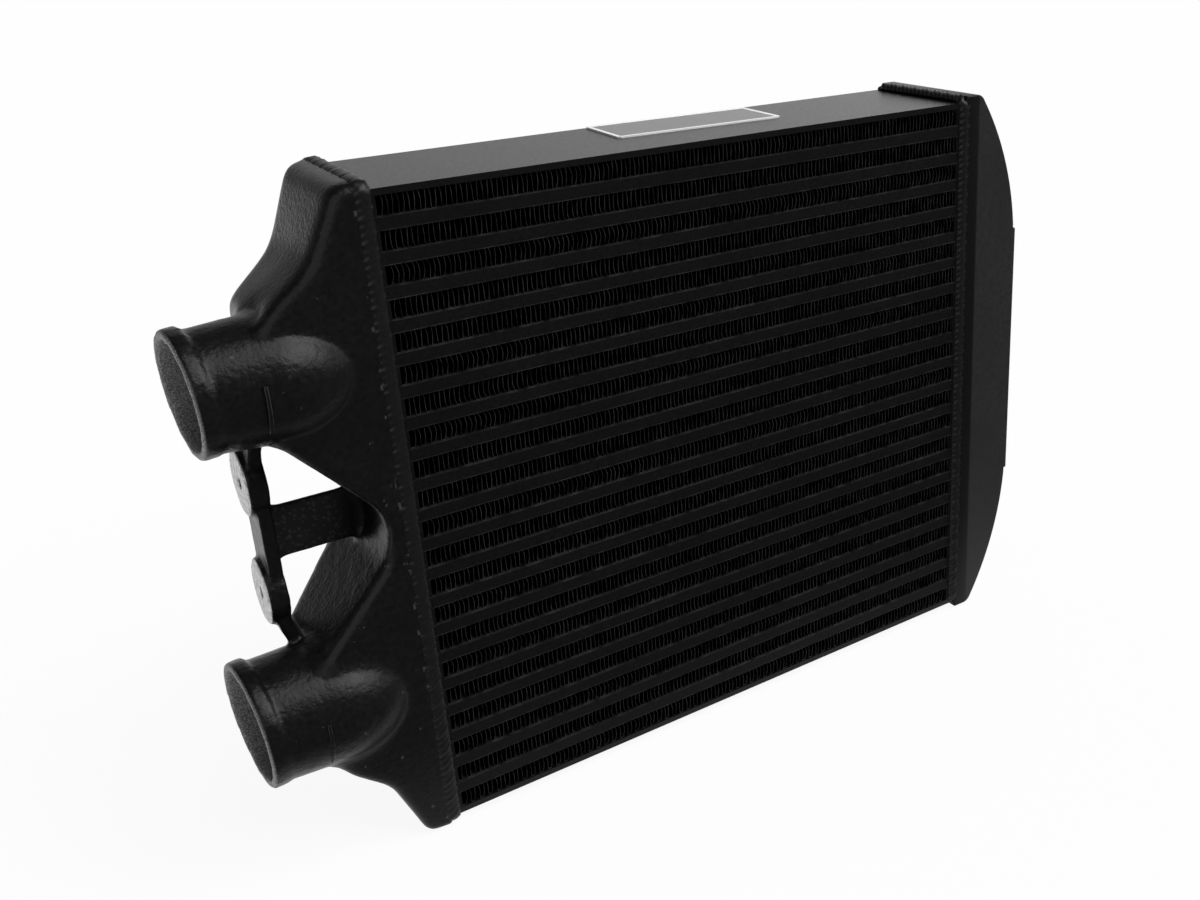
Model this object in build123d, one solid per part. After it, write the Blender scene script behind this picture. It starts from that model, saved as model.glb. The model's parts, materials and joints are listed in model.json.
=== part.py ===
# Bar-and-plate intercooler: a brazed aluminium core with a cast end tank that carries both hose
# spigots on its left, and a return tank on its right. Millimetres, +Z up, front face toward -Y.
# The origin is at the middle of the whole object's footprint, on the surface that it stands on.
import os
from math import asin, atan2, cos, hypot, sin, tan

from build123d import *

# ---- core: rows stacked upward between two plates, all brazed into one block ----
core_width = 327.0         # end face to end face, along X
core_depth = 70.0          # front to back, along Y
fin_rows = 21              # cooling-air rows; a charge-air passage lies between each two
fin_height = 8.7           # free height of a cooling-air row
bar_height = 5.2           # free height of a charge-air passage
sheet_thickness = 0.4      # parting sheets on both sides of each passage
plate_thickness = 3.0      # top and bottom side plates
bar_width = 6.0            # front and rear bars of a passage, front to back
header_width = 6.0         # bars that close the ends of a cooling-air row

# ---- corrugated strips ----
fin_wall_count = 16        # walls in one cooling strip
fin_gauge = 0.5            # strip thickness, measured upright
fin_setback = 0.8          # strip edges behind the bar faces
fin_end_gap = 0.2          # strip end to header bar
charge_fin_wall_count = 4  # walls in one charge-air strip
charge_fin_gauge = 0.6

# ---- weld beads round both tank joints ----
bead_on_core = 5.0         # bead width over the core
bead_on_tank = 3.5         # bead width over the tank
bead_height = 1.2          # bead above the tank's collar
bead_crest = 1.0           # highest line of the bead, on the core's side of the joint
bead_toe = 0.4             # thickness where the bead runs out over the core
bead_under = 0.7           # how much higher than the tank's underside the bead stays
bead_bevel = 1.0

# ---- tank collars: both tanks stand slightly proud of the core all round ----
collar_rise = 3.4          # above the top plate, and the return tank below the bottom plate
end_tank_drop = 5.0        # cast end tank below the bottom plate
collar_proud = 1.5         # in front of and behind the core

# ---- cast end tank, left ----
tank_wall = 4.0
upper_collar = 11.0        # straight stretch beside the joint
lower_collar = 11.5
tank_reach = 47.0          # joint to the end wall that the spigots leave
tank_rise = 1.9            # middle of the casting above the core's mid-height
shoulder_cut = 0.55        # end of a shoulder inside the outline of its spigot
knee_along = 0.38          # place of the shoulder's knee, as a share of its run
knee_down = 0.66           # and of its fall
knee_round = 24.0          # radius of the knee
recess_root = 8.8          # casting left beside the joint at mid-height
recess_round = 26.0        # radius at the bottom of the recess
back_margin = 9.3          # end wall left behind the larger spigot
tank_round = 5.0           # rounding of the casting's front edges
tank_corner = 6.0          # rounding of the corners seen from the front
back_bend = 12.0           # radius where the back wall turns forward, just outside the weld
divider = 6.0              # wall between the upper and lower halves

# ---- hose spigots, cast with the tank ----
spigot_spacing = 156.6     # upper axis to lower axis
spigot_setback = 16.0      # axis behind the core's front face
upper_spigot_radius = 26.0   # under the hose
lower_spigot_radius = 28.2
spigot_wall = 2.5
spigot_reach = 30.5        # end wall to the mouth
lip_proud = 1.5            # rolled lip that keeps the hose on
lip_length = 7.0
lip_bevel = 1.0
mouth_lean = 4.0           # degrees that the mouths look toward the front
mouth_drop = 3.0           # degrees that the mouths look down
dome_inset = 5.0           # the pipe begins to round off this far inside the end wall
dome_length = 33.0
bore_taper = 20.0          # stretch over which the bore narrows inside the dome
bore_end = 0.6             # its radius there, as a share of the bore
root_bevel = 5.0           # bevel between a spigot and the tank

# ---- bracket between the spigots ----
boss_spacing = 53.8        # upper hole to lower hole
boss_setback = 37.0        # hole axis behind the core's front face
boss_radius = 15.5
boss_reach = 11.5          # end wall to the machined face
screw_radius = 2.5         # M6 thread, minor radius
bar_gap = 2.5              # clear of the tank's end wall
bar_width_y = 24.0         # upright bar, front to back
bar_thickness = 6.0
leg_clear = 8.1            # the bar begins to bend toward the tank this far before the spigots
leg_shift = 8.0            # how far it has moved in where it meets the spigots
leg_round = 14.0           # radius of that bend
web_thickness = 4.0        # front to back
web_height = 26.0

# ---- return tank, right ----
return_reach = 38.8
return_wall = 4.0
return_collar = 11.0
return_shoulder = 79.5     # height over which the ends of the tank curve in
return_rise = 3.0          # middle of the end wall above the core's mid-height
pad_proud = 1.6            # raised middle of the end wall
pad_height = 152.0
return_round = 5.0
return_corner = 6.0

# ---- name plate on the top plate ----
name_plate_length = 92.0
name_plate_width = 38.0
name_plate_thickness = 0.8
name_plate_corner = 1.5    # clipped corners
name_plate_turn = -2.2     # degrees, as stuck on by hand
name_plate_x = 180.5       # centre, from the core's left end
name_plate_edge = 1.8      # clear strip left at the back edge of the top plate

passages = fin_rows - 1
row_pitch = fin_height + bar_height + 2 * sheet_thickness
core_height = 2 * plate_thickness + fin_rows * fin_height + passages * (row_pitch - fin_height)
middle = core_height / 2
tank_middle = middle + tank_rise
spigot_mouth = tank_reach + spigot_reach
dome_start = tank_reach - dome_inset
boss_face = tank_reach + boss_reach
sliver = 1.0               # overrun of cutting solids past the faces that they cut


def block(x, y, z):
    """A box from three (low, high) pairs."""
    size = [high - low for low, high in (x, y, z)]
    centre = [(high + low) / 2 for low, high in (x, y, z)]
    return Pos(*centre) * Box(*size)


def row_floor(row):
    """Height of the floor of a cooling-air row, counted from the bottom."""
    return plate_thickness + row * row_pitch


def passage_floor(row):
    """Height of the floor of the charge-air passage above a cooling-air row."""
    return row_floor(row) + fin_height + sheet_thickness


# ------------------------------------------------------------------ core
def corrugation(length, height, gauge, walls):
    """Zigzag strip in the XY plane: walls of equal run, crests on y=0 and y=height."""
    run = length / walls
    crests = [(i * run, gauge if i % 2 == 0 else height) for i in range(walls + 1)]
    upper = [(x, y) for x, y in crests]
    lower = [(x, y - gauge) for x, y in crests]
    return make_face(Polyline(*upper, *reversed(lower), close=True))


def cooling_fins(row):
    """Strip whose waves run along X; the air passes through from front to back."""
    length = core_width - 2 * header_width - 2 * fin_end_gap
    wave = corrugation(length, fin_height, fin_gauge, fin_wall_count)
    strip = extrude(Plane.XZ * wave, core_depth - 2 * fin_setback)
    return Pos(header_width + fin_end_gap, core_depth - fin_setback, row_floor(row)) * strip


def charge_fins(row):
    """Strip whose waves run along Y; the charge air passes through from side to side."""
    width = core_depth - 2 * bar_width
    wave = corrugation(width, bar_height, charge_fin_gauge, charge_fin_wall_count)
    strip = extrude(Plane.YZ * wave, core_width)
    return Pos(0, bar_width, passage_floor(row)) * strip


def charge_bars(row):
    """Front and rear bars that close one charge-air passage."""
    z = (passage_floor(row), passage_floor(row) + bar_height)
    front = block((0, core_width), (0, bar_width), z)
    rear = block((0, core_width), (core_depth - bar_width, core_depth), z)
    return [front, rear]


def header_bars():
    """Bars that close both ends of every cooling-air row."""
    bars = []
    for row in range(fin_rows):
        z = (row_floor(row), row_floor(row) + fin_height)
        bars.append(block((0, header_width), (0, core_depth), z))
        bars.append(block((core_width - header_width, core_width), (0, core_depth), z))
    return bars


def parting_sheets():
    """Thin brazed sheets under and over every charge-air passage."""
    sheets = []
    for row in range(passages):
        for z in (passage_floor(row) - sheet_thickness, passage_floor(row) + bar_height):
            sheets.append(block((0, core_width), (0, core_depth), (z, z + sheet_thickness)))
    return sheets


def side_plate(z):
    return block((0, core_width), (0, core_depth), (z, z + plate_thickness))


def name_plate():
    """Bare plate stuck on the top, its long side along the back edge."""
    outline = Rectangle(name_plate_length, name_plate_width)
    outline = chamfer(outline.vertices(), name_plate_corner)
    y = core_depth - name_plate_edge - name_plate_width / 2
    placed = Pos(name_plate_x, y, core_height) * Rot(0, 0, name_plate_turn)
    return placed * extrude(outline, name_plate_thickness)


# ------------------------------------------------------------------ tanks
def collar_block(x, drop):
    """The tank collar's section round the core, between two places along X."""
    y = (-collar_proud, core_depth + collar_proud)
    return block(x, y, (-drop, core_height + collar_rise))


def mirrored(points):
    """The same points below the casting's middle, in the order that continues the outline."""
    return [(x, 2 * tank_middle - z) for x, z in reversed(points)]


def spigot_height(side):
    return tank_middle + side * spigot_spacing / 2


def spigot_radius(side):
    return upper_spigot_radius if side > 0 else lower_spigot_radius


def shoulder_line(inset, side):
    """Collar, knee and end of the sloping shoulder, in the upper or the lower half."""
    collar = upper_collar if side > 0 else lower_collar
    rise = collar_rise if side > 0 else end_tank_drop
    top = middle + rise - inset
    end = side * (spigot_height(side) - middle) + spigot_radius(side) - shoulder_cut - inset
    knee_place = collar - inset + knee_along * (tank_reach - collar)
    knee = (knee_place, top - knee_down * (top - end))
    points = [(collar - inset, top), knee, (tank_reach - inset, end)]
    return [(x, middle + side * height) for x, height in points]


def recess_slope():
    """Angle of the recess's flanks, which end where the upper spigot's outline meets the end wall."""
    across = tank_reach - recess_root - recess_round
    up = spigot_spacing / 2 - upper_spigot_radius
    return atan2(up, across) - asin(recess_round / hypot(across, up))


def recess_edges(reach, inset):
    """Recess between the two halves: two straight flanks and a round root, from the top down."""
    centre = recess_root - inset + recess_round
    slope = recess_slope()
    touch = (centre - recess_round * sin(slope), tank_middle + recess_round * cos(slope))
    start = (reach, touch[1] + (reach - touch[0]) * tan(slope))
    below = mirrored([start, touch])
    root = (centre - recess_round, tank_middle)
    return start, [Line(start, touch), ThreePointArc(touch, root, below[0]), Line(*below)]


def end_tank_face(inset, joint):
    """Front view of the tank, drawn outward from the joint along +X."""
    upper = shoulder_line(inset, 1)
    lower = shoulder_line(inset, -1)
    recess_start, recess = recess_edges(tank_reach - inset, inset)
    recess_end = (recess_start[0], 2 * tank_middle - recess_start[1])
    top = (joint, upper[0][1])
    bottom = (joint, lower[0][1])
    edges = [
        Polyline(top, *upper, recess_start),
        *recess,
        Polyline(recess_end, *reversed(lower), bottom, top),
    ]
    knees = (upper[1][1], lower[1][1])
    face = rounded_corners(make_face(edges), tank_corner - inset / 2, knees)
    bends = face.vertices().filter_by(lambda v: min(abs(v.Y - z) for z in knees) < sliver / 10)
    return fillet(bends, knee_round)


def rounded_corners(face, radius, knees=()):
    """The face with its corners rounded, but those at the joint, in the recess and at the knees."""
    outer = face.vertices().filter_by(lambda v: v.X > tank_wall)
    outer = outer.filter_by(lambda v: abs(v.Y - tank_middle) > recess_round)
    return fillet(outer.filter_by(lambda v: all(abs(v.Y - z) > sliver for z in knees)), radius)


def leaning_back(front, back):
    """Everything between the front wall and the back wall, which comes forward as it goes out."""
    start = bead_on_tank + back_bend / 8
    end_depth = spigot_setback + lower_spigot_radius + back_margin
    lean = (core_depth + collar_proud - end_depth) / (tank_reach - start)
    far = 2 * tank_reach
    outline = make_face(Polyline(
        (-far, front),
        (far, front),
        (far, back - lean * (far - start)),
        (start, back),
        (-far, back),
        close=True,
    ))
    outline = fillet(outline.vertices().filter_by(lambda v: v.X == start), back_bend)
    height = core_height + 4 * end_tank_drop
    return Pos(0, 0, -2 * end_tank_drop) * extrude(outline, height)


def tank_solid(inset, joint=0.0):
    """Tank body without spigots; inset draws the cavity inside the walls."""
    face = Plane.XZ * end_tank_face(inset, joint)
    slab = Pos(0, 2 * core_depth, 0) * extrude(face, 3 * core_depth)
    front = -collar_proud + inset
    back = core_depth + collar_proud - inset
    return slab & leaning_back(front, back)


def front_edges(body):
    """Edges round the front wall, away from the joint."""
    flat = body.edges().filter_by(lambda e: e.bounding_box().size.Y < e.length / 1.2)
    flat = flat.filter_by(lambda e: e.center().Y < core_depth / 2)
    return flat.filter_by(lambda e: e.center().X > bead_on_tank / 4)


def dome(radius, length):
    """Half an ellipsoid that closes a pipe of this radius toward the core."""
    quarter = make_face([
        EllipticalCenterArc((dome_start, 0), length, radius, start_angle=90, arc_size=90),
        Line((dome_start - length, 0), (dome_start, 0)),
        Line((dome_start, 0), (dome_start, radius)),
    ])
    return revolve(quarter, Axis.X)


def spigot_axis(side):
    return Pos(0, spigot_setback, spigot_height(side))


def pipe(radius, start, end):
    return Pos((start + end) / 2, 0, 0) * Rot(0, 90, 0) * Cylinder(radius, end - start)


def lip(radius):
    """Rolled lip that ends at x=0, with a bevelled rim."""
    ring = pipe(radius, -lip_length, 0)
    return chamfer(ring.edges().filter_by(GeomType.CIRCLE).sort_by(Axis.X)[-1], lip_bevel)


def mouth_place():
    return Pos(spigot_mouth, 0, 0) * Rot(0, mouth_drop, -mouth_lean)


def spigot_outside(side):
    radius = spigot_radius(side)
    barrel = pipe(radius, dome_start, spigot_mouth - lip_length / 2)
    return dome(radius, dome_length) + barrel + mouth_place() * lip(radius + lip_proud)


def spigot_inside(side):
    radius = spigot_radius(side) - spigot_wall
    barrel = pipe(radius, dome_start, spigot_mouth + lip_length)
    narrowing = Rot(0, 90, 0) * Cone(radius * bore_end, radius, bore_taper)
    return Pos(dome_start - bore_taper / 2, 0, 0) * narrowing + barrel


def spigot_root(body, side):
    """Edges along which a spigot runs into the tank."""
    axis = spigot_axis(side).position
    limit = spigot_radius(side) + lip_proud

    def near(edge):
        ends = [edge.position_at(share) for share in (0.0, 0.5, 1.0)]
        reach = max(hypot(point.Y - axis.Y, point.Z - axis.Z) for point in ends)
        return reach < limit and max(point.X for point in ends) < tank_reach + sliver

    return body.edges().filter_by(near)


def bar_outline():
    """Front view of the upright bar, which bends in toward the tank at both ends."""
    inner = tank_reach + bar_gap
    end = (spigot_spacing - upper_spigot_radius) / 2
    leg_start = spigot_spacing / 2 - lower_spigot_radius - leg_clear
    lower_side = [(inner - leg_shift, -end), (inner, -leg_start)]
    upper_side = [(inner, leg_start), (inner - leg_shift, end)]
    inner_side = lower_side + upper_side
    outer_side = [(x + bar_thickness, height) for x, height in reversed(inner_side)]
    outline = make_face(Polyline(*inner_side, *outer_side, close=True))
    bends = outline.vertices().filter_by(lambda v: abs(v.Y) < leg_start + sliver)
    return fillet(bends, leg_round)


def boss_place(side):
    return Pos(0, boss_setback, tank_middle + side * boss_spacing / 2)


def bracket():
    """Upright bar with two machined bosses, held off the recess by a web."""
    inner = tank_reach + bar_gap
    face = Plane.XZ * bar_outline()
    bar = Pos(0, boss_setback + bar_width_y / 2, tank_middle) * extrude(face, bar_width_y)
    web_y = (boss_setback - web_thickness / 2, boss_setback + web_thickness / 2)
    web_z = (tank_middle - web_height / 2, tank_middle + web_height / 2)
    body = bar + block((recess_root - tank_wall / 4, inner + sliver), web_y, web_z)
    for side in (-1, 1):
        boss = pipe(boss_radius, inner, boss_face)
        body += boss_place(side) * boss
    return body


def cast_end_tank():
    """Left tank with spigots and bracket, turned so that it reaches out along -X."""
    body = tank_solid(0.0)
    body = fillet(front_edges(body), tank_round)
    cavity = tank_solid(tank_wall, joint=-sliver)
    cavity -= block((-2, tank_reach), (-core_depth, 2 * core_depth),
                    (tank_middle - divider / 2, tank_middle + divider / 2))
    for side in (-1, 1):
        body += spigot_axis(side) * spigot_outside(side)
        body = chamfer(spigot_root(body, side), root_bevel)
        cavity += spigot_axis(side) * spigot_inside(side)
    body += bracket()
    body -= cavity
    for side in (-1, 1):
        body -= boss_place(side) * pipe(screw_radius, tank_reach, boss_face + sliver)
    return mirror(body, Plane.YZ)


def return_curve(inset, side):
    """Three places on the arc from the collar to the end wall, in the upper or the lower half."""
    top = middle + collar_rise - inset
    start = return_collar - inset / 2
    run = return_reach - inset - start
    fall = return_shoulder - side * return_rise
    curve = [(start + along * run, top - down * fall) for along, down in [(0, 0), (0.62, 0.42), (1, 1)]]
    return [(x, middle + side * height) for x, height in curve]


def return_tank_face(inset, joint):
    """D-shaped front view of the return tank, drawn outward from the joint along +X."""
    upper = return_curve(inset, 1)
    lower = return_curve(inset, -1)
    top = (joint, upper[0][1])
    bottom = (joint, lower[0][1])
    edges = [
        Line(top, upper[0]),
        ThreePointArc(*upper),
        Line(upper[-1], lower[-1]),
        ThreePointArc(*reversed(lower)),
        Line(lower[0], bottom),
        Line(bottom, top),
    ]
    return rounded_corners(make_face(edges), return_corner - inset / 2)


def return_solid(inset, joint=0.0):
    face = Plane.XZ * return_tank_face(inset, joint)
    depth = core_depth + 2 * collar_proud - 2 * inset
    return Pos(0, core_depth + collar_proud - inset, 0) * extrude(face, depth)


def return_tank():
    """Right tank, closed, with a raised middle on its end wall."""
    pad_x = (return_reach - return_wall / 2, return_reach + pad_proud)
    pad_y = (-collar_proud, core_depth + collar_proud)
    pad_middle = middle + return_rise
    pad = block(pad_x, pad_y, (pad_middle - pad_height / 2, pad_middle + pad_height / 2))
    body = return_solid(0.0)
    body = fillet(front_edges(body), return_round)
    body += pad
    body -= return_solid(return_wall, joint=-sliver)
    return Pos(core_width, 0, 0) * body


# ------------------------------------------------------------------ welds
def bead_section(x, proud, rise, drop):
    """Outline of the bead round the core at one place along X."""
    centre = (x, core_depth / 2, middle + (rise - drop) / 2)
    place = Plane(origin=centre, x_dir=(0, 1, 0), z_dir=(1, 0, 0))
    return place * Rectangle(core_depth + 2 * proud, core_height + rise + drop)


def weld_bead(drop):
    """Bead round a joint at x=0, with the core on -X and the tank on +X."""
    rise = collar_rise + bead_height
    proud = collar_proud + bead_height
    under = drop - bead_under
    toe = bead_section(-bead_on_core, bead_toe, bead_toe, bead_toe)
    crest = bead_section(-bead_crest, proud, rise, under)
    ring = loft([toe, crest], ruled=True)
    ring += block((-bead_crest, bead_on_tank), (-proud, core_depth + proud),
                  (-under, core_height + rise))
    around = ring.edges().filter_by(Plane.YZ).group_by(Axis.X)
    ring = chamfer(around[-1], bead_bevel)
    ring -= block((-2 * bead_on_core, 0), (0, core_depth), (0, core_height))
    return ring - collar_block((0, 2 * bead_on_tank), drop)


# ------------------------------------------------------------------ assembly
def pieces():
    """Every node: its name and its solids, in the core's own frame."""
    nodes = {
        "cast_end_tank": [cast_end_tank()],
        "return_tank": [return_tank()],
        "end_tank_weld": [mirror(weld_bead(end_tank_drop), Plane.YZ)],
        "return_tank_weld": [Pos(core_width, 0, 0) * weld_bead(collar_rise)],
        "top_plate": [side_plate(core_height - plate_thickness)],
        "bottom_plate": [side_plate(0)],
        "name_plate": [name_plate()],
        "header_bars": header_bars(),
        "parting_sheets": parting_sheets(),
        "charge_fins": [charge_fins(row) for row in range(passages)],
    }
    for row in range(passages):
        nodes[f"charge_bars_{row + 1:02d}"] = charge_bars(row)
    for row in range(fin_rows):
        nodes[f"cooling_fins_{row + 1:02d}"] = [cooling_fins(row)]
    return nodes


def main():
    nodes = pieces()
    box = Compound([solid for solids in nodes.values() for solid in solids]).bounding_box()
    home = Pos(-box.center().X, -box.center().Y, -box.min.Z)
    os.makedirs("parts", exist_ok=True)
    for name, solids in nodes.items():
        shape = Compound([home * solid for solid in solids]) if len(solids) > 1 else home * solids[0]
        export_step(shape, f"parts/{name}.step")


main()
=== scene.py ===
import json
import math

import bpy
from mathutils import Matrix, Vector


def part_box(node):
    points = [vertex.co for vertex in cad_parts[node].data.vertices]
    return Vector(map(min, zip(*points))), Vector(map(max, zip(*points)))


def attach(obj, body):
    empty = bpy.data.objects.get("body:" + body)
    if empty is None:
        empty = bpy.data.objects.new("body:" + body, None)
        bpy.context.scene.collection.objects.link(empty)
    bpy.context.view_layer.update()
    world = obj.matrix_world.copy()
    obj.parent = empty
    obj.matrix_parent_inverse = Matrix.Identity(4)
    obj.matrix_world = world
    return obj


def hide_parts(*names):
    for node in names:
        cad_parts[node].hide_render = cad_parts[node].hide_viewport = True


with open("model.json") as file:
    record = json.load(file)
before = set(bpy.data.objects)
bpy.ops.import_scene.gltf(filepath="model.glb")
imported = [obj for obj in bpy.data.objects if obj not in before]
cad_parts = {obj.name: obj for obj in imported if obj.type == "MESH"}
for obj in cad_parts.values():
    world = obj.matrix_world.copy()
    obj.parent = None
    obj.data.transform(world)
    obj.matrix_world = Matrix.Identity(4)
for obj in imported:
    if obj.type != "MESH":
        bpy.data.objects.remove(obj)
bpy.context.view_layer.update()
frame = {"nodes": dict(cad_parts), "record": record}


# ---- Studio ----------------------------------------------------------------
# A seamless pale sweep under soft light. The cooler stands on it, seen from above its left front
# corner through a slightly long lens, as in a catalogue.
mm = 0.001
core_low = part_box("bottom_plate")[0]
camera_from_core = Vector((-145.6, -506.7, 414.7)) * mm
camera_turn = (69.055, 1.248, -35.808)

camera_data = bpy.data.cameras.new("camera")
camera_data.lens = 37.8
camera_data.shift_x = -0.1667
camera_data.shift_y = -0.0600
camera = bpy.data.objects.new("camera", camera_data)
camera.location = core_low + camera_from_core
camera.rotation_euler = [math.radians(angle) for angle in camera_turn]
bpy.context.collection.objects.link(camera)
bpy.context.scene.camera = camera
bpy.context.scene.view_settings.view_transform = "Standard"


def linear(hex_colour):
    """An sRGB hex colour as linear RGBA."""
    parts = [int(hex_colour[i:i + 2], 16) / 255 for i in (1, 3, 5)]
    return [p / 12.92 if p <= 0.04045 else ((p + 0.055) / 1.055) ** 2.4 for p in parts] + [1.0]


def add_node(tree, kind, links=(), **settings):
    """Adds a node; settings name its sockets or its own properties, links give what feeds a socket."""
    node = tree.nodes.new(kind)
    for name, value in settings.items():
        socket = node.inputs.get(name.replace("_", " "))
        if socket is not None and not hasattr(node, name):
            socket.default_value = value
        else:
            setattr(node, name, value)
    for name, source in dict(links).items():
        tree.links.new(source, node.inputs[name])
    return node


def new_material(name):
    """An empty node material and its tree."""
    material = bpy.data.materials.new(name)
    material.use_nodes = True
    material.node_tree.nodes.clear()
    return material, material.node_tree


def backdrop_rays(tree):
    """Masks of the rays that the camera sends, and of those with the reflections added."""
    rays = add_node(tree, "ShaderNodeLightPath")
    seen = rays.outputs["Is Camera Ray"]
    seen_or_mirrored = add_node(tree, "ShaderNodeMath", operation="MAXIMUM",
                                links={0: seen, 1: rays.outputs["Is Glossy Ray"]})
    return seen, seen_or_mirrored.outputs[0]


# Pale matt card, which keeps the shadow. It shows white to the camera and in reflections, but the
# black faces mirror only the part behind the cooler's front: the part before it stays dark to them.
dark_up_to, white_from, dark_glow = -0.10, 0.0, 0.06
white_share = 0.92
sweep_paint, tree = new_material("studio_sweep_paint")
seen, seen_or_mirrored = backdrop_rays(tree)
spot = add_node(tree, "ShaderNodeSeparateXYZ",
                links={0: add_node(tree, "ShaderNodeNewGeometry").outputs["Position"]})
behind_front = add_node(tree, "ShaderNodeMapRange", From_Min=dark_up_to, From_Max=white_from,
                        To_Min=dark_glow, links={"Value": spot.outputs["Y"]})
brightness = add_node(tree, "ShaderNodeMath", operation="MAXIMUM",
                      links={0: seen, 1: behind_front.outputs[0]})
matt = add_node(tree, "ShaderNodeBsdfDiffuse", Color=linear("#f2f2f2"))
glow = add_node(tree, "ShaderNodeEmission", Color=linear("#ffffff"),
                links={"Strength": brightness.outputs[0]})
share = add_node(tree, "ShaderNodeMath", operation="MULTIPLY", links={0: seen_or_mirrored})
share.inputs[1].default_value = white_share
pale = add_node(tree, "ShaderNodeMixShader",
                links={0: share.outputs[0], 1: matt.outputs[0], 2: glow.outputs[0]})
add_node(tree, "ShaderNodeOutputMaterial", links={"Surface": pale.outputs[0]})

bpy.ops.object.select_all(action="DESELECT")
bpy.ops.mesh.primitive_plane_add(size=60, location=(0, 0, 0))
floor = bpy.context.object
floor.name = "floor"
floor.data.materials.append(sweep_paint)

# The room is white to the camera and fills the shadows evenly. Reflections see it white behind, low
# down and to the right, dark in front and above, and a white card stands at the left front. Each
# fade gives an axis, where it starts and ends on it, and the brightness at its start and its end.
fill_light = 0.30
fades = (("Y", -0.75, -0.20, 0.08, 1.0), ("Z", 0.35, 0.75, 1.0, 0.1), ("X", -0.35, 0.75, 0.15, 1.05))
card_direction = Vector((-0.75, -0.60, 0.25)).normalized()
card_rim, card_face = 0.78, 0.86
world = bpy.data.worlds.new("studio_air")
bpy.context.scene.world = world
world.use_nodes = True
tree = world.node_tree
tree.nodes.clear()
seen, seen_or_mirrored = backdrop_rays(tree)
direction = add_node(tree, "ShaderNodeTexCoord").outputs["Generated"]
aim = add_node(tree, "ShaderNodeSeparateXYZ", links={0: direction})
room = None
for axis, start, end, start_tone, end_tone in fades:
    fade = add_node(tree, "ShaderNodeMapRange", From_Min=start, From_Max=end, To_Min=start_tone,
                    To_Max=end_tone, links={"Value": aim.outputs[axis]})
    room = fade if room is None else add_node(tree, "ShaderNodeMath", operation="MULTIPLY",
                                              links={0: room.outputs[0], 1: fade.outputs[0]})
to_card = add_node(tree, "ShaderNodeVectorMath", operation="DOT_PRODUCT", links={0: direction})
to_card.inputs[1].default_value = card_direction
left_card = add_node(tree, "ShaderNodeMapRange", From_Min=card_rim, From_Max=card_face,
                     links={"Value": to_card.outputs["Value"]})
for white_place in (left_card.outputs[0], seen):
    room = add_node(tree, "ShaderNodeMath", operation="MAXIMUM",
                    links={0: room.outputs[0], 1: white_place})
dim = add_node(tree, "ShaderNodeBackground", Color=linear("#ffffff"), Strength=fill_light)
white = add_node(tree, "ShaderNodeBackground", Color=linear("#ffffff"),
                 links={"Strength": room.outputs[0]})
air = add_node(tree, "ShaderNodeMixShader",
               links={0: seen_or_mirrored, 1: dim.outputs[0], 2: white.outputs[0]})
add_node(tree, "ShaderNodeOutputWorld", links={"Surface": air.outputs[0]})

# Two soft boxes hang in front and to the right. Each has its direction, strength and width in degrees.
soft_boxes = (((0.33, -0.45, 0.83), 1.9, 50), ((0.62, -0.52, 0.59), 1.0, 40))
for number, (towards, strength, width) in enumerate(soft_boxes):
    light = bpy.data.lights.new(f"softbox_{number}", "SUN")
    light.energy = strength
    light.angle = math.radians(width)
    lamp = bpy.data.objects.new(light.name, light)
    lamp.rotation_euler = (-Vector(towards)).to_track_quat("-Z", "Y").to_euler()
    bpy.context.collection.objects.link(lamp)


# ---- Plates of the core ----------------------------------------------------
# Two rolled aluminium side plates close the stack at its top and bottom. They are brazed on and
# sprayed with a semi-gloss black coat, smooth enough to mirror the sky softly.
def black_coat(name, colour, roughness, specular, grain_mm, grain_depth_mm, grain_tone=0.25):
    """Sprayed black paint that varies from place to place over a ground with a grain."""
    drift_mm, gloss_range, grain_band = 40, 0.06, (0.3, 0.7)
    material, tree = new_material(name)
    position = add_node(tree, "ShaderNodeTexCoord").outputs["Object"]
    drift = add_node(tree, "ShaderNodeTexNoise", Scale=1 / (drift_mm * mm), Detail=3.0,
                     links={"Vector": position})
    grain = add_node(tree, "ShaderNodeTexNoise", Scale=1 / (grain_mm * mm), Detail=2.0,
                     links={"Vector": position})
    grained = add_node(tree, "ShaderNodeMapRange", From_Min=grain_band[0], From_Max=grain_band[1],
                       links={"Value": grain.outputs["Fac"]})
    spots = add_node(tree, "ShaderNodeMath", operation="MULTIPLY",
                     links={0: grained.outputs[0], 1: drift.outputs["Fac"]})
    shade = add_node(tree, "ShaderNodeMix", data_type="RGBA", links={"Factor": spots.outputs[0]})
    for socket, factor in ((6, 1 - grain_tone), (7, 1 + grain_tone)):
        tone = [min(1.0, part * factor) for part in linear(colour)[:3]]
        shade.inputs[socket].default_value = tone + [1.0]
    gloss = add_node(tree, "ShaderNodeMapRange", To_Min=roughness - gloss_range,
                     To_Max=roughness + gloss_range, links={"Value": grain.outputs["Fac"]})
    bump = add_node(tree, "ShaderNodeBump", Strength=1.0, Distance=grain_depth_mm * mm,
                    links={"Height": grain.outputs["Fac"]})
    coat = add_node(tree, "ShaderNodeBsdfPrincipled", Specular_IOR_Level=specular, IOR=1.5,
                    links={"Base Color": shade.outputs[2], "Roughness": gloss.outputs[0],
                           "Normal": bump.outputs[0]})
    add_node(tree, "ShaderNodeOutputMaterial", links={"Surface": coat.outputs[0]})
    return material, coat


def dress(piece, *materials):
    """Gives a piece its materials in place of those that it has."""
    piece.data.materials.clear()
    for material in materials:
        piece.data.materials.append(material)


# Paint on smooth rolled sheet: deep black, with a soft even sheen and hardly any grain.
plate_coat, _ = black_coat("semi_gloss_black_paint_on_plate", "#0b0b0b", roughness=0.32,
                           specular=0.28, grain_mm=2.0, grain_depth_mm=0.004)
for node_name in ("top_plate", "bottom_plate"):
    dress(frame["nodes"][node_name], plate_coat)


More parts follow.
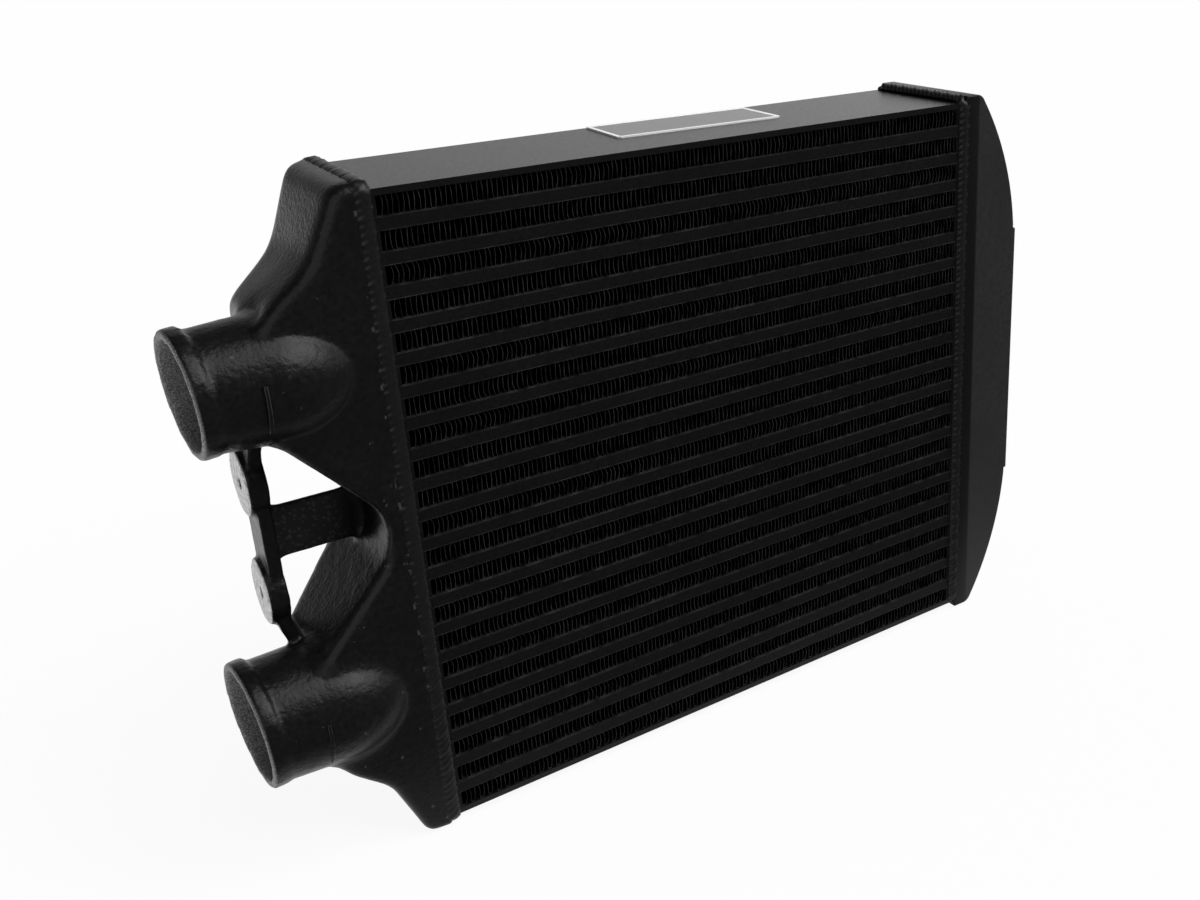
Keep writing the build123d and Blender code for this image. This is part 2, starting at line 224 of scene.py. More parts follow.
# ---- Passage bars ----------------------------------------------------------
# Solid bars of drawn aluminium, brazed between the sheets, close the front and the back of each
# charge passage. Under the black spray their flat faces keep a fine drawn texture that dulls them.
bar_coat, _ = black_coat("dull_black_paint_on_bar", "#0f0f0f", roughness=0.50, specular=0.12,
                         grain_mm=1.2, grain_depth_mm=0.02, grain_tone=0.5)
for passage in range(1, 21):
    dress(frame["nodes"][f"charge_bars_{passage:02d}"], bar_coat)
dress(frame["nodes"]["header_bars"], bar_coat)


# ---- Parting sheets --------------------------------------------------------
# Thin aluminium sheets, clad with braze metal, lie over and under every passage. Their sheared
# edges hold little paint and show as fine grey lines between the bars and the fins.
sheet_coat, _ = black_coat("thin_paint_on_sheet_edge", "#2a2a2a", roughness=0.50, specular=0.10,
                           grain_mm=6.0, grain_depth_mm=0.01, grain_tone=0.8)
for node_name in ("parting_sheets", "charge_fins"):
    dress(frame["nodes"][node_name], sheet_coat)


# ---- Cooling fins ----------------------------------------------------------
# One long strip of 0.15 mm aluminium, folded into upright walls 2.27 mm apart, fills each row.
# Brazing bows and crumples the walls slightly. The black spray carries painted shade between them and
# painted light on their edges.
def only(piece):
    """Makes one object the selected and active one."""
    bpy.ops.object.select_all(action="DESELECT")
    piece.select_set(True)
    bpy.context.view_layer.objects.active = piece


def apply_all(piece):
    """Applies the modifiers of a piece, from the first to the last."""
    only(piece)
    for modifier in list(piece.modifiers):
        bpy.ops.object.modifier_apply(modifier=modifier.name)


wall_pitch = 2.27 * mm
fin_gauge = 0.15 * mm
fin_low, fin_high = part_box("cooling_fins_01")
fin_depth = fin_high.y - fin_low.y
fin_rise = fin_high.z - fin_low.z - fin_gauge
waves = int((fin_high.x - fin_low.x) / (2 * wall_pitch))
wave_length = (fin_high.x - fin_low.x) / waves
crest = 0.36 * wave_length
lean = (wave_length / 2 - crest) / 2
# One wave of the strip, as places along it and shares of its rise.
wave_columns = [
    (0.0, 0.0), (crest, 0.0),
    (crest + lean * 0.9, 0.25), (crest + lean * 1.5, 0.5), (crest + lean * 1.6, 0.75),
    (wave_length / 2, 1.0), (wave_length / 2 + crest, 1.0),
    (wave_length / 2 + crest + lean * 1.3, 0.75), (wave_length / 2 + crest + lean * 1.6, 0.5),
    (wave_length / 2 + crest + lean * 1.4, 0.25), (wave_length, 0.0),
]
wave_steps = len(wave_columns) - 1
bpy.ops.object.select_all(action="DESELECT")
bpy.ops.mesh.primitive_grid_add(x_subdivisions=wave_steps, y_subdivisions=1, size=1)
fin_wave = bpy.context.object
fin_wave.name = "fin_wave"
for vertex in fin_wave.data.vertices:
    along, height = wave_columns[round((vertex.co.x + 0.5) * wave_steps)]
    vertex.co = (fin_low.x + along, fin_low.y + (vertex.co.y + 0.5) * fin_depth,
                 fin_low.z + fin_gauge / 2 + height * fin_rise)
repeat = fin_wave.modifiers.new("waves", "ARRAY")
repeat.count = waves
repeat.use_relative_offset = False
repeat.use_constant_offset = True
repeat.constant_offset_displace = (wave_length, 0, 0)
repeat.use_merge_vertices = True
repeat.merge_threshold = 0.01 * mm
apply_all(fin_wave)

# Black spray with painted shade between the walls and a painted light strip along each wall's edges.
core_middle_y = (core_low.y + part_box("top_plate")[1].y) / 2
edge_start, edge_end, edge_light_noise_mm, least_edge_light = 0.8 * mm, 0.1 * mm, 6, 0.2
fin_coat, tree = new_material("black_paint_on_fin_with_painted_edge_light")
position = add_node(tree, "ShaderNodeTexCoord").outputs["Object"]
across = add_node(tree, "ShaderNodeSeparateXYZ", links={0: position})
off_middle = add_node(tree, "ShaderNodeMath", operation="SUBTRACT", links={0: across.outputs["Y"]})
off_middle.inputs[1].default_value = core_middle_y
from_middle = add_node(tree, "ShaderNodeMath", operation="ABSOLUTE", links={0: off_middle.outputs[0]})
edge_zone = add_node(tree, "ShaderNodeMapRange", From_Min=fin_depth / 2 - edge_start,
                     From_Max=fin_depth / 2 - edge_end, links={"Value": from_middle.outputs[0]})
# Noise breaks up the painted light strip along the edges.
edge_light_noise = add_node(tree, "ShaderNodeTexNoise", Scale=1 / (edge_light_noise_mm * mm), Detail=2.0,
                links={"Vector": position})
edge_light_breakup = add_node(tree, "ShaderNodeMapRange", From_Min=0.3, From_Max=0.7, To_Min=least_edge_light,
                     links={"Value": edge_light_noise.outputs["Fac"]})
painted_edge_light = add_node(tree, "ShaderNodeMath", operation="MULTIPLY",
                        links={0: edge_zone.outputs[0], 1: edge_light_breakup.outputs[0]})
# The fin colour runs from painted shade black inside to painted light grey at the edges.
fin_tone = add_node(tree, "ShaderNodeMix", data_type="RGBA", links={"Factor": painted_edge_light.outputs[0]})
fin_tone.inputs[6].default_value = linear("#030303")
fin_tone.inputs[7].default_value = linear("#3c3c3c")
fin_paint = add_node(tree, "ShaderNodeBsdfPrincipled", Specular_IOR_Level=0.05, IOR=1.5, Roughness=0.5,
                     links={"Base Color": fin_tone.outputs[2]})
add_node(tree, "ShaderNodeOutputMaterial", links={"Surface": fin_paint.outputs[0]})

# Each row is the same strip, bowed, tilted and crumpled in its own way: how far the walls stray in
# each, and over what length along the row.
row_bow, long_bow, tilt_most, crumple_most = 0.55 * mm, 0.35 * mm, 0.30 * mm, 0.22 * mm
bow_wave, tilt_wave, crumple_wave, crumple_swell = 17 * mm, 9 * mm, 1.3 * mm, 31 * mm
for row in range(1, 22):
    row_low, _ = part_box(f"cooling_fins_{row:02d}")
    mesh = fin_wave.data.copy()
    whole_bow = row_bow * math.sin(2.4 * row) + 0.15 * mm
    for vertex in mesh.vertices:
        height = (vertex.co.z - fin_low.z - fin_gauge / 2) / fin_rise
        place = vertex.co.x - fin_low.x
        bow = whole_bow + long_bow * math.sin(place / bow_wave + 3.1 * row)
        tilt = tilt_most * math.sin(place / tilt_wave + 1.7 * row)
        crumple = crumple_most * math.sin(place / crumple_wave) * math.sin(place / crumple_swell + row)
        vertex.co.x += 4 * height * (1 - height) * (bow + crumple) + height * (1 - height) * tilt
        vertex.co.z += row_low.z - fin_low.z
    fins = bpy.data.objects.new(f"fine_fins_{row:02d}", mesh)
    bpy.context.collection.objects.link(fins)
    thick = fins.modifiers.new("gauge", "SOLIDIFY")
    thick.thickness = fin_gauge
    thick.offset = 0.0
    apply_all(fins)
    dress(fins, fin_coat)
    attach(fins, "root")
    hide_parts(f"cooling_fins_{row:02d}")
bpy.data.objects.remove(fin_wave)


# ---- Weld beads ------------------------------------------------------------
# Both tanks are welded on by hand all round the core. Each drop of metal froze over the one
# before, so the bead is a row of crescents about 3.4 mm apart, painted over.
def on_outline(run, half_y, half_z, corner):
    """The place on a rounded rectangle after a run along it, and the way out from it there."""
    turn = math.pi / 2 * corner
    near_y, near_z = half_y - corner, half_z - corner
    sides = ((2 * near_y, -near_y, -half_z, near_y, -near_z),
             (2 * near_z, half_y, -near_z, near_y, near_z),
             (2 * near_y, near_y, half_z, -near_y, near_z),
             (2 * near_z, -half_y, near_z, -near_y, -near_z))
    for heading, (straight, start_y, start_z, turn_y, turn_z) in enumerate(sides):
        angle = heading * math.pi / 2
        if run <= straight + turn or heading == len(sides) - 1:
            break
        run -= straight + turn
    if run <= straight:
        y, z = start_y + run * math.cos(angle), start_z + run * math.sin(angle)
    else:
        angle += min(1.0, (run - straight) / turn) * math.pi / 2
        y, z = turn_y + corner * math.sin(angle), turn_z - corner * math.cos(angle)
    return y, z, math.sin(angle), -math.cos(angle)


def weld_bead(name, node_name, slant, hollow, edge_drop, ripple, roundness):
    """One bead of frozen drops. Slant and hollow bend each crescent, edge_drop scallops the sides,
    ripple is how far a drop stands up, and roundness gives the section its shape."""
    low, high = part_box(node_name)
    middle = (low + high) / 2
    bead_high, corner, drop_length = 2.3 * mm, 4.0 * mm, 3.4 * mm
    steps_per_drop, steps_round = 7, 16
    wide_share, root_share, late_peak = 0.93, 0.8, 0.6
    beat_turn, uneven_rise, uneven_width = 0.37, 0.35, 0.03
    half_wide = (high.x - low.x) / 2
    inset = bead_high + (1 + uneven_rise) * ripple + 0.05 * mm
    half_y, half_z = middle.y - low.y - inset, middle.z - low.z - inset
    straight_y, straight_z, turn = 2 * (half_y - corner), 2 * (half_z - corner), math.pi / 2 * corner
    length = 2 * (straight_y + straight_z) + 4 * turn
    drops = round(length / drop_length)
    bpy.ops.object.select_all(action="DESELECT")
    bpy.ops.mesh.primitive_grid_add(size=1, x_subdivisions=drops * steps_per_drop,
                                    y_subdivisions=steps_round)
    bead = bpy.context.object
    bead.name = name
    for vertex in bead.data.vertices:
        run, round_it = (vertex.co.x + 0.5) * length, (vertex.co.y + 0.5) * 2 * math.pi
        side, rise = math.cos(round_it), math.sin(round_it)
        phase = run / length * drops + slant * side + hollow * side * side
        drop = 0.5 - 0.5 * math.cos(2 * math.pi * (phase % 1.0) ** late_peak)
        beat = math.sin(2 * math.pi * round(phase - phase % 1.0) * beat_turn)
        if rise > 0:
            lift = bead_high * rise ** roundness
            lift += ripple * drop * min(1, 2 * rise) * (1 + uneven_rise * beat)
        else:
            lift = rise * (bead_high * root_share)
        wide = half_wide * (wide_share - edge_drop * (1 - drop) + uneven_width * beat)
        y, z, out_y, out_z = on_outline(run, half_y, half_z, corner)
        vertex.co = (middle.x + wide * side, middle.y + y + lift * out_y, middle.z + z + lift * out_z)
    only(bead)
    bpy.ops.object.mode_set(mode="EDIT")
    bpy.ops.mesh.select_all(action="SELECT")
    bpy.ops.mesh.remove_doubles(threshold=0.01 * mm)
    bpy.ops.mesh.normals_make_consistent(inside=False)
    bpy.ops.object.mode_set(mode="OBJECT")
    bpy.ops.object.shade_smooth()
    dress(bead, weld_coat)
    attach(bead, "root")
    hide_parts(node_name)


# Paint over weld metal: it pools between the drops, so that their crests catch short soft lights.
weld_coat, _ = black_coat("black_paint_on_weld", "#171717", roughness=0.34, specular=0.24,
                          grain_mm=1.0, grain_depth_mm=0.03, grain_tone=0.4)
weld_bead("left_weld_bead", "end_tank_weld", slant=0.8, hollow=0.35, edge_drop=0.0,
          ripple=0.42 * mm, roundness=0.8)
weld_bead("right_weld_bead", "return_tank_weld", slant=1.0, hollow=0.2, edge_drop=0.10,
          ripple=0.75 * mm, roundness=1.1)


# ---- Cast end tank ---------------------------------------------------------
# One sand casting in aluminium: the tank, both hose spigots, and the bracket with its two bosses.
# Sand leaves a pebbled skin under the black paint; rims, bores and boss faces are bare.
mounts = {mount["name"]: mount for mount in frame["record"]["mounts"]}
boss_middle = Vector(mounts["mounting_bosses"]["pos_m"])
boss_step = mounts["mounting_bosses"]["dims"]["spacing_y_mm"] * mm / 2
boss_radius = 15.5 * mm
boss_face_depth = 0.7 * mm
lip_land, lip_proud, pipe_wall = 6 * mm, 1.5 * mm, 2.5 * mm
bare_bore_depth, spigot_reach = 32 * mm, 45 * mm
web_half_deep, web_half_high, web_start = 6 * mm, 14 * mm, 20 * mm
cutter_mm, grit_mm, grit_depth_mm, pebble_mm, cloud_mm = 2.5, 0.7, 0.05, 2.0, 5
joint_x, front_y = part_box("cast_end_tank")[1].x, core_low.y


def round_zone(tree, position, centre, axis):
    """Distance from an axis, and how far along it a point lies, outward from the centre."""
    offset = add_node(tree, "ShaderNodeVectorMath", operation="SUBTRACT", links={0: position})
    offset.inputs[1].default_value = centre
    along = add_node(tree, "ShaderNodeVectorMath", operation="DOT_PRODUCT", links={0: offset.outputs[0]})
    along.inputs[1].default_value = axis
    on_axis = add_node(tree, "ShaderNodeVectorMath", operation="SCALE",
                       links={"Scale": along.outputs["Value"]})
    on_axis.inputs[0].default_value = axis
    aside = add_node(tree, "ShaderNodeVectorMath", operation="SUBTRACT",
                     links={0: offset.outputs[0], 1: on_axis.outputs[0]})
    distance = add_node(tree, "ShaderNodeVectorMath", operation="LENGTH", links={0: aside.outputs[0]})
    return distance.outputs["Value"], along.outputs["Value"]


def zone(tree, *edges):
    """A mask of 1 where every value is past its limit. An edge is a value, its limit and how soft
    it is, and a negative softness turns it round, to the values below the limit."""
    mask = None
    for value, limit, soft in edges:
        step = add_node(tree, "ShaderNodeMapRange", From_Min=limit - soft, From_Max=limit + soft,
                        links={"Value": value})
        mask = step if mask is None else add_node(tree, "ShaderNodeMath", operation="MULTIPLY",
                                                  links={0: mask.outputs[0], 1: step.outputs[0]})
    return mask.outputs[0]


def any_zone(tree, masks):
    """A mask of 1 where any of several masks is 1."""
    whole = masks[0]
    for mask in masks[1:]:
        whole = add_node(tree, "ShaderNodeMath", operation="MAXIMUM", links={0: whole, 1: mask}).outputs[0]
    return whole


def retone(tree, coat, mask, tone):
    """Turns the colour of a coat to another tone where a mask is 1."""
    colour = coat.inputs["Base Color"]
    mixed = add_node(tree, "ShaderNodeMix", data_type="RGBA",
                     links={"Factor": mask, 6: colour.links[0].from_socket})
    mixed.inputs[7].default_value = linear(tone)
    tree.links.new(mixed.outputs[2], colour)


# Paint over sand-cast metal: a pebbled black skin whose grains each catch a small light.
cast_coat, painted = black_coat("black_paint_on_sand_casting", "#121212", roughness=0.32,
                                specular=0.20, grain_mm=2.0, grain_depth_mm=0.22, grain_tone=0.45)
tree = cast_coat.node_tree
surface = painted.outputs[0].links[0].to_socket
position = add_node(tree, "ShaderNodeTexCoord").outputs["Object"]

# Milled boss faces: bright bare metal, clouded where the cutter left it rough.
machined = add_node(tree, "ShaderNodeTexNoise", Scale=1 / (cutter_mm * mm), Detail=4.0, Roughness=0.7,
                    links={"Vector": position})
machined_tone = add_node(tree, "ShaderNodeValToRGB", links={"Fac": machined.outputs["Fac"]})
machined_metal = add_node(tree, "ShaderNodeBsdfPrincipled", Metallic=1.0, Roughness=0.42,
                          links={"Base Color": machined_tone.outputs[0]})
# Rims and bores as cast: grey grit with pale sparks. The grit is drawn coarser than the real sand,
# so that it shows.
grit = add_node(tree, "ShaderNodeTexNoise", Scale=1 / (grit_mm * mm), Detail=3.0, Roughness=0.8,
                links={"Vector": position})
grit_tone = add_node(tree, "ShaderNodeValToRGB", links={"Fac": grit.outputs["Fac"]})
grit_bump = add_node(tree, "ShaderNodeBump", Strength=1.0, Distance=grit_depth_mm * mm,
                     links={"Height": grit.outputs["Fac"]})
rough_metal = add_node(tree, "ShaderNodeBsdfPrincipled", Metallic=0.3, Roughness=0.55,
                       links={"Base Color": grit_tone.outputs[0], "Normal": grit_bump.outputs[0]})
for ramp, tones in ((machined_tone, ((0.35, "#8f8f8f"), (0.60, "#d2d2d2"))),
                    (grit_tone, ((0.42, "#505050"), (0.68, "#b4b4b4")))):
    for element, (stop, tone) in zip(ramp.color_ramp.elements, tones):
        element.position, element.color = stop, linear(tone)

boss_faces, mouths = [], []
for side in (-1, 1):
    centre = boss_middle + Vector((0, 0, side * boss_step))
    distance, along = round_zone(tree, position, centre, (-1, 0, 0))
    boss_faces.append(zone(tree, (distance, boss_radius - 0.2 * mm, -0.2 * mm),
                           (along, -boss_face_depth, 0.1 * mm)))
for name in ("upper_spigot", "lower_spigot"):
    mount = mounts[name]
    bore_radius = mount["dims"]["r_mm"] * mm - lip_proud - pipe_wall
    distance, along = round_zone(tree, position, mount["pos_m"], mount["axis"])
    mouths.append(zone(tree, (along, lip_land / 2 + 0.3 * mm, 0.5 * mm),
                       (distance, spigot_reach, -1 * mm)))
    mouths.append(zone(tree, (distance, bore_radius + 0.6 * mm, -0.3 * mm),
                       (along, -bare_bore_depth, 0.3 * mm)))

# Painted glints drawn as paler colour: on pebble tops on the web and here and there on the tank, and
# on flecks beside the weld. A faint lighter tone also lies over the web.
pebbles = add_node(tree, "ShaderNodeTexVoronoi", Scale=1 / (pebble_mm * mm),
                   links={"Vector": position})
chance = add_node(tree, "ShaderNodeTexNoise", Scale=1 / (cloud_mm * mm), Detail=1.0,
                  links={"Vector": position})
place = add_node(tree, "ShaderNodeSeparateXYZ", links={0: position})
pebble_tops = (pebbles.outputs["Distance"], 0.36, -0.12)
many, some, few = [(chance.outputs["Fac"], limit, soft)
                   for limit, soft in ((0.34, 0.10), (0.63, 0.03), (0.74, 0.02))]
web_lighter_share = 0.30
web_edges = ((place.outputs["Y"], boss_middle.y - web_half_deep, 0.3 * mm),
             (place.outputs["Y"], boss_middle.y + web_half_deep, -0.3 * mm),
             (place.outputs["Z"], boss_middle.z - web_half_high, 0.3 * mm),
             (place.outputs["Z"], boss_middle.z + web_half_high, -0.3 * mm),
             (place.outputs["X"], joint_x - web_start, -5 * mm))
bead_low, bead_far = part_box("end_tank_weld")
bead_edge = bead_low.x + 0.035 * (bead_far.x - bead_low.x)
web_glints = zone(tree, *web_edges, many, pebble_tops)
rare_glints = zone(tree, few, pebble_tops, (place.outputs["Y"], front_y + 3 * mm, -0.3 * mm))
joint_glints = zone(tree, some, (place.outputs["X"], bead_edge - 0.4 * mm, 0.1 * mm),
                    (place.outputs["Y"], front_y + 1 * mm, -0.3 * mm))
web_lighter_tone = add_node(tree, "ShaderNodeMath", operation="MULTIPLY", links={0: zone(tree, *web_edges)})
web_lighter_tone.inputs[1].default_value = web_lighter_share
painted_glints_and_web_tone = any_zone(tree, (web_glints, rare_glints, joint_glints, web_lighter_tone.outputs[0]))
# Lays the painted glints and the web's lighter tone over the coat as a paler grey.
retone(tree, painted, painted_glints_and_web_tone, "#343434")

with_rims = add_node(tree, "ShaderNodeMixShader",
                     links={0: any_zone(tree, mouths), 1: painted.outputs[0], 2: rough_metal.outputs[0]})
with_bosses = add_node(tree, "ShaderNodeMixShader",
                       links={0: any_zone(tree, boss_faces), 1: with_rims.outputs[0],
                              2: machined_metal.outputs[0]})
tree.links.new(with_bosses.outputs[0], surface)


def merged_copy(node_name, name):
    """A new piece from a copy of a node's mesh, with the loose triangles joined up."""
    piece = bpy.data.objects.new(name, frame["nodes"][node_name].data.copy())
    bpy.context.collection.objects.link(piece)
    only(piece)
    bpy.ops.object.mode_set(mode="EDIT")
    bpy.ops.mesh.select_all(action="SELECT")
    bpy.ops.mesh.remove_doubles(threshold=0.005 * mm)
    bpy.ops.object.mode_set(mode="OBJECT")
    return piece


def join_into(piece, others):
    """Joins other pieces into one, which keeps its name."""
    only(piece)
    for other in others:
        other.select_set(True)
    bpy.ops.object.join()


# The spigots run on into the tank as pipes with domed ends, which swell out of its front face.
axis_y = front_y + 16 * mm
axis_step = 78.3 * mm
dome_root, dome_reach, barrel_length = 42 * mm, 37.5 * mm, 26 * mm
shell_wall, skin_step = 2.2 * mm, 1.1 * mm
pipes = [(boss_middle.z + side * axis_step, mounts[name]["dims"]["r_mm"] * mm - lip_proud)
         for side, name in ((1, "upper_spigot"), (-1, "lower_spigot"))]
casting = merged_copy("cast_end_tank", "sand_cast_tank")
shells = []
for (axis_z, radius), bulge in zip(pipes, (2.0 * mm, 1.1 * mm)):
    bpy.ops.object.select_all(action="DESELECT")
    bpy.ops.mesh.primitive_uv_sphere_add(segments=64, ring_count=40, radius=1)
    shell = bpy.context.object
    shell.name = "domed_pipe"
    bpy.ops.object.mode_set(mode="EDIT")
    bpy.ops.mesh.select_all(action="DESELECT")
    bpy.ops.object.mode_set(mode="OBJECT")
    for vertex in shell.data.vertices:
        along, side, up = vertex.co.z, vertex.co.x, vertex.co.y
        round_off = max(math.hypot(side, up), 1e-9)
        if along >= 0:
            x, reach = along * dome_reach, (radius + bulge) * round_off
        else:
            x, reach = along * barrel_length, radius + 0.1 * mm + (bulge - 0.1 * mm) * (1 + along)
            vertex.select = round_off < 1e-6
        vertex.co = (joint_x - dome_root + x, axis_y + reach * side / round_off,
                     axis_z + reach * up / round_off)
    bpy.ops.object.mode_set(mode="EDIT")
    bpy.ops.mesh.delete(type="VERT")
    bpy.ops.mesh.select_all(action="SELECT")
    bpy.ops.mesh.normals_make_consistent(inside=False)
    bpy.ops.object.mode_set(mode="OBJECT")
    wall = shell.modifiers.new("wall", "SOLIDIFY")
    wall.thickness = shell_wall
    wall.offset = -1.0
    apply_all(shell)
    shells.append(shell)
join_into(casting, shells)
skin = casting.modifiers.new("skin", "REMESH")
skin.mode = "VOXEL"
skin.voxel_size = skin_step
apply_all(casting)


def ease(value, start, end):
    """Runs smoothly from 0 at the start to 1 at the end."""
    share = min(1.0, max(0.0, (value - start) / (end - start)))
    return share * share * (3 - 2 * share)


# The foundry's radii: the front edges are tight, the back ones wider and the upper ones widest,
# and the shoulders swell a little between the spigots and the tank's ends. Each pair of values
# says between which distances a change comes in: out from the joint, back from the front face,
# or up and down from the middle between the bosses.
tank_end, joint_edge, upper_joint_edge = (46 * mm, 50 * mm), (1 * mm, 6 * mm), (0.5 * mm, 4 * mm)
back_edge, upper_end, skin_of_tank = (34 * mm, 50 * mm), (96 * mm, 116 * mm), (30 * mm, 50 * mm)
swell_start, swell_end, swell_back = (12 * mm, 26 * mm), (38 * mm, 47 * mm), (20 * mm, 60 * mm)
swell_up, dome_clearance, shoulder_swell = (84 * mm, 104 * mm), (1.03, 1.12), 3.0 * mm
group_names = ("front_radii", "back_radii", "upper_radii", "sandy")
front_radii, back_radii, upper_radii, sandy = [casting.vertex_groups.new(name=name)
                                               for name in group_names]
for vertex in casting.data.vertices:
    out, back, up = joint_x - vertex.co.x, vertex.co.y - front_y, vertex.co.z - boss_middle.z
    clear = 1.0
    for axis_z, radius in pipes:
        aside = math.hypot(vertex.co.y - axis_y, vertex.co.z - axis_z)
        inward = max(0.0, dome_root - out) / dome_reach
        clear = min(clear, ease(math.hypot(aside / (radius + 2.0 * mm), inward), *dome_clearance))
    on_tank = clear * (1 - ease(out, *tank_end))
    at_front = on_tank * ease(out, *joint_edge)
    for group, weight in (
            (front_radii, at_front), (back_radii, at_front * ease(back, *back_edge)),
            (upper_radii, on_tank * ease(out, *upper_joint_edge) * ease(up, *upper_end)),
            (sandy, 1 - 0.97 * on_tank * ease(abs(up), *skin_of_tank))):
        group.add([vertex.index], weight, "REPLACE")
    swell = ease(out, *swell_start) * (1 - 0.5 * ease(out, *swell_end))
    swell *= 1 - 0.8 * ease(back, *swell_back)
    side = 1 if up > 0 else -1
    vertex.co.z += side * shoulder_swell * swell * clear * ease(abs(up), *swell_up)

even_out = casting.modifiers.new("even_out", "SMOOTH")
even_out.factor = 0.5
even_out.iterations = 4
for group, rounds in ((front_radii, 30), (back_radii, 60), (upper_radii, 90)):
    soften = casting.modifiers.new(group.name, "SMOOTH")
    soften.factor = 0.5
    soften.iterations = rounds
    soften.vertex_group = group.name
sand_waves = bpy.data.textures.new("sand_waves", "CLOUDS")
sand_waves.noise_scale = cloud_mm * mm
sand_waves.noise_depth = 1
skin_waves = casting.modifiers.new("sand_waves", "DISPLACE")
skin_waves.texture = sand_waves
skin_waves.texture_coords = "LOCAL"
skin_waves.strength = 0.24 * mm
skin_waves.vertex_group = "sandy"
thin_out = casting.modifiers.new("thin_out", "DECIMATE")
thin_out.ratio = 0.5
apply_all(casting)

# One plain raised bar on the front of each pipe. Each has how far it stands off the pipe, how far
# it is from the joint, and where it ends above and below the front, in degrees.
bars = ((2.9 * mm, 50.1 * mm, 12.4, -31.8), (1.25 * mm, 50.0 * mm, 10.0, -36.5))
bar_deep, bar_wide, bar_draft, bar_edge = 2.2 * mm, 2.1, 0.9, 0.35 * mm
ribs = []
for (axis_z, radius), (proud, out, top, bottom) in zip(pipes, bars):
    bpy.ops.object.select_all(action="DESELECT")
    bpy.ops.mesh.primitive_cube_add(size=1)
    rib = bpy.context.object
    bpy.ops.object.mode_set(mode="EDIT")
    bpy.ops.mesh.select_all(action="SELECT")
    bpy.ops.mesh.subdivide(number_cuts=7)
    bpy.ops.object.mode_set(mode="OBJECT")
    for vertex in rib.data.vertices:
        angle = math.radians(bottom + (top - bottom) * (vertex.co.z + 0.5))
        reach = radius + proud + bar_deep * (vertex.co.y - 0.5)
        width = (bar_wide - bar_draft * vertex.co.y) * mm
        vertex.co = (joint_x - out + vertex.co.x * width, axis_y - reach * math.cos(angle),
                     axis_z + reach * math.sin(angle))
    bpy.ops.object.mode_set(mode="EDIT")
    bpy.ops.mesh.normals_make_consistent(inside=False)
    bpy.ops.object.mode_set(mode="OBJECT")
    soft_edge = rib.modifiers.new("soft_edge", "BEVEL")
    soft_edge.width = bar_edge
    soft_edge.segments = 2
    soft_edge.limit_method = "ANGLE"
    soft_edge.angle_limit = math.radians(40)
    apply_all(rib)
    ribs.append(rib)
join_into(casting, ribs)
bpy.ops.object.shade_smooth()
dress(casting, cast_coat)
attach(casting, "root")
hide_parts("cast_end_tank")


# ---- Return tank -----------------------------------------------------------
# A smooth pressed and welded aluminium tank turns the air round at the far end. Its sheet is folded
# at small radii, and it has a satin black spray and no openings.
return_low, return_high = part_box("return_tank")
strip_middle, strip_soft = 9.25 * mm, 0.75 * mm
square_on = 0.99

# Paint on pressed sheet: an even dark grey satin, with a blacker strip over the ledge beside the
# weld, which lies in the shade of the bead.
tank_coat, tank_paint = black_coat("satin_black_paint_on_tank", "#262626", roughness=0.36,
                                   specular=0.16, grain_mm=2.0, grain_depth_mm=0.02)
tree = tank_coat.node_tree
place = add_node(tree, "ShaderNodeSeparateXYZ",
                 links={0: add_node(tree, "ShaderNodeTexCoord").outputs["Object"]})
beside_joint = zone(tree, (place.outputs["X"], return_low.x + strip_middle, -strip_soft))
retone(tree, tank_paint, beside_joint, "#0c0c0c")

return_tank = merged_copy("return_tank", "pressed_return_tank")
bpy.ops.object.mode_set(mode="EDIT")
bpy.ops.mesh.select_mode(type="FACE")
bpy.ops.mesh.select_all(action="DESELECT")
bpy.ops.object.mode_set(mode="OBJECT")
for face in return_tank.data.polygons:
    is_back = face.normal.y > square_on and face.center.y > return_high.y - 0.01 * mm
    face.select = not is_back
bpy.ops.object.mode_set(mode="EDIT")
bpy.ops.mesh.delete(type="FACE")
bpy.ops.mesh.select_all(action="SELECT")
bpy.ops.mesh.dissolve_limited(angle_limit=math.radians(1))
bpy.ops.mesh.select_all(action="SELECT")
bpy.ops.mesh.extrude_region_move(
    TRANSFORM_OT_translate={"value": (0, return_low.y - return_high.y, 0)})
bpy.ops.mesh.select_all(action="SELECT")
bpy.ops.mesh.normals_make_consistent(inside=False)
bpy.ops.object.mode_set(mode="OBJECT")
fold = return_tank.modifiers.new("folded_edges", "BEVEL")
fold.width = 0.9 * mm
fold.segments = 3
fold.limit_method = "ANGLE"
fold.angle_limit = math.radians(35)
apply_all(return_tank)
bpy.ops.object.shade_smooth_by_angle(angle=math.radians(30))
dress(return_tank, tank_coat)
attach(return_tank, "root")
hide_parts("return_tank")


# ---- Name plate ------------------------------------------------------------
# A thin aluminium plate stuck on the top, bare of any marking: a bright rim round a grey field that
# lies a little lower.
rim_wide, step_wide, step_deep = 2.0 * mm, 0.3 * mm, 0.2 * mm
brushing_mm, streak_mm, streak_stretch = 0.8, 9, 12

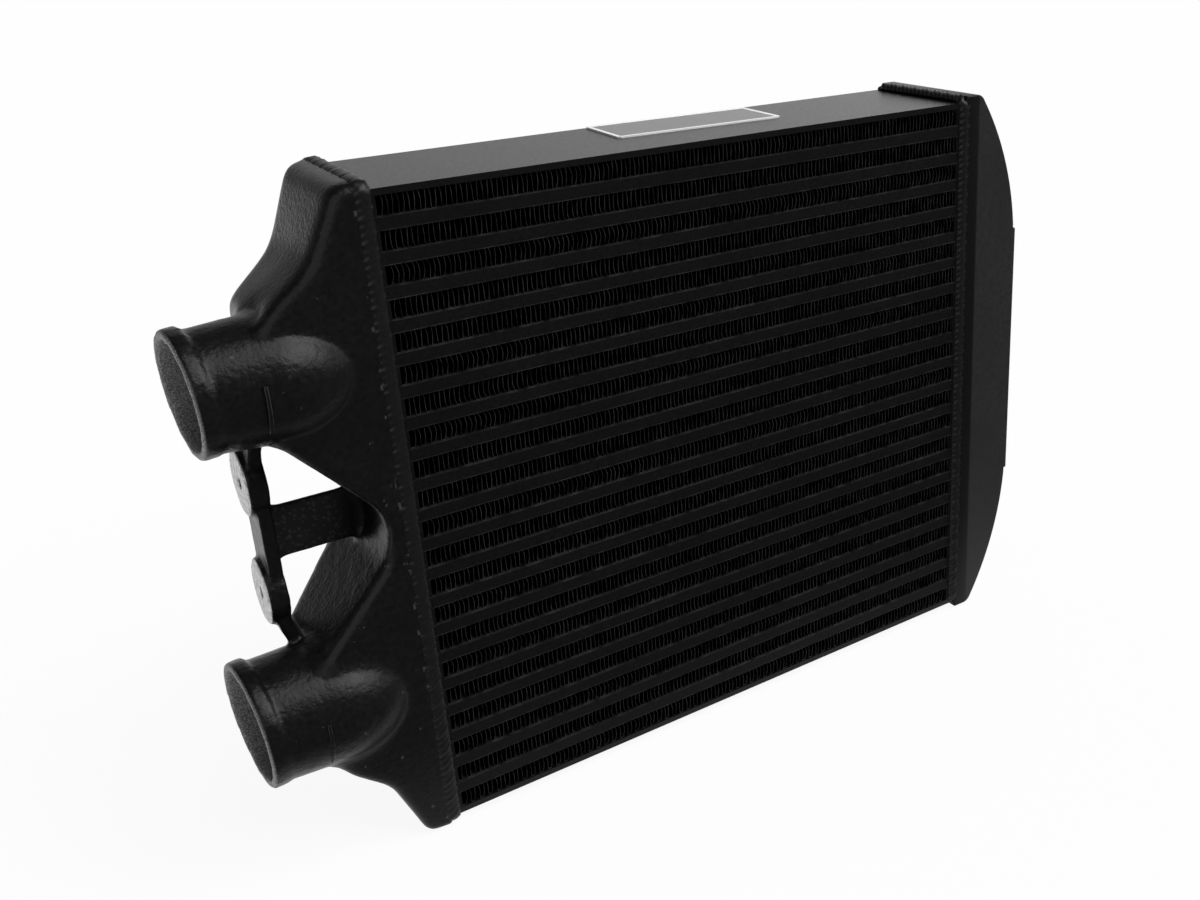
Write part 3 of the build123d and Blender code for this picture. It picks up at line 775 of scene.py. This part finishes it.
# Brushed aluminium: almost white, with a fine uneven gloss.
rim_metal, tree = new_material("bright_aluminium_rim")
position = add_node(tree, "ShaderNodeTexCoord").outputs["Object"]
brushing = add_node(tree, "ShaderNodeTexNoise", Scale=1 / (brushing_mm * mm), Detail=2.0,
                    links={"Vector": position})
brushed = add_node(tree, "ShaderNodeMapRange", To_Min=0.28, To_Max=0.45,
                   links={"Value": brushing.outputs["Fac"]})
rim = add_node(tree, "ShaderNodeBsdfPrincipled", Base_Color=linear("#ffffff"), Metallic=0.2,
               links={"Roughness": brushed.outputs[0]})
add_node(tree, "ShaderNodeOutputMaterial", links={"Surface": rim.outputs[0]})

# Grey ink on brushed metal: a mid grey with faint streaks along the plate.
field_paint, tree = new_material("grey_print_ground")
position = add_node(tree, "ShaderNodeTexCoord").outputs["Object"]
stretch = add_node(tree, "ShaderNodeMapping", links={"Vector": position})
stretch.inputs["Scale"].default_value = (1, streak_stretch, 1)
streaks = add_node(tree, "ShaderNodeTexNoise", Scale=1 / (streak_mm * mm), Detail=4.0,
                   links={"Vector": stretch.outputs[0]})
field_tone = add_node(tree, "ShaderNodeMix", data_type="RGBA", links={"Factor": streaks.outputs["Fac"]})
field_tone.inputs[6].default_value = linear("#747474")
field_tone.inputs[7].default_value = linear("#a4a4a4")
field = add_node(tree, "ShaderNodeBsdfPrincipled", Metallic=0.6, Roughness=0.4,
                 links={"Base Color": field_tone.outputs[2]})
add_node(tree, "ShaderNodeOutputMaterial", links={"Surface": field.outputs[0]})

blank_plate = merged_copy("name_plate", "blank_name_plate")
dress(blank_plate, rim_metal, field_paint)
bpy.ops.object.mode_set(mode="EDIT")
bpy.ops.mesh.select_all(action="SELECT")
bpy.ops.mesh.dissolve_limited(angle_limit=math.radians(1))
bpy.ops.mesh.select_mode(type="FACE")
bpy.ops.mesh.select_all(action="DESELECT")
bpy.ops.object.mode_set(mode="OBJECT")
for face in blank_plate.data.polygons:
    face.select = face.normal.z > square_on
    face.material_index = 0
bpy.ops.object.mode_set(mode="EDIT")
bpy.ops.mesh.inset(thickness=rim_wide, depth=0)
bpy.ops.mesh.inset(thickness=step_wide, depth=-step_deep)
bpy.context.object.active_material_index = 1
bpy.ops.object.material_slot_assign()
bpy.ops.object.mode_set(mode="OBJECT")
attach(blank_plate, "root")
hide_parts("name_plate")
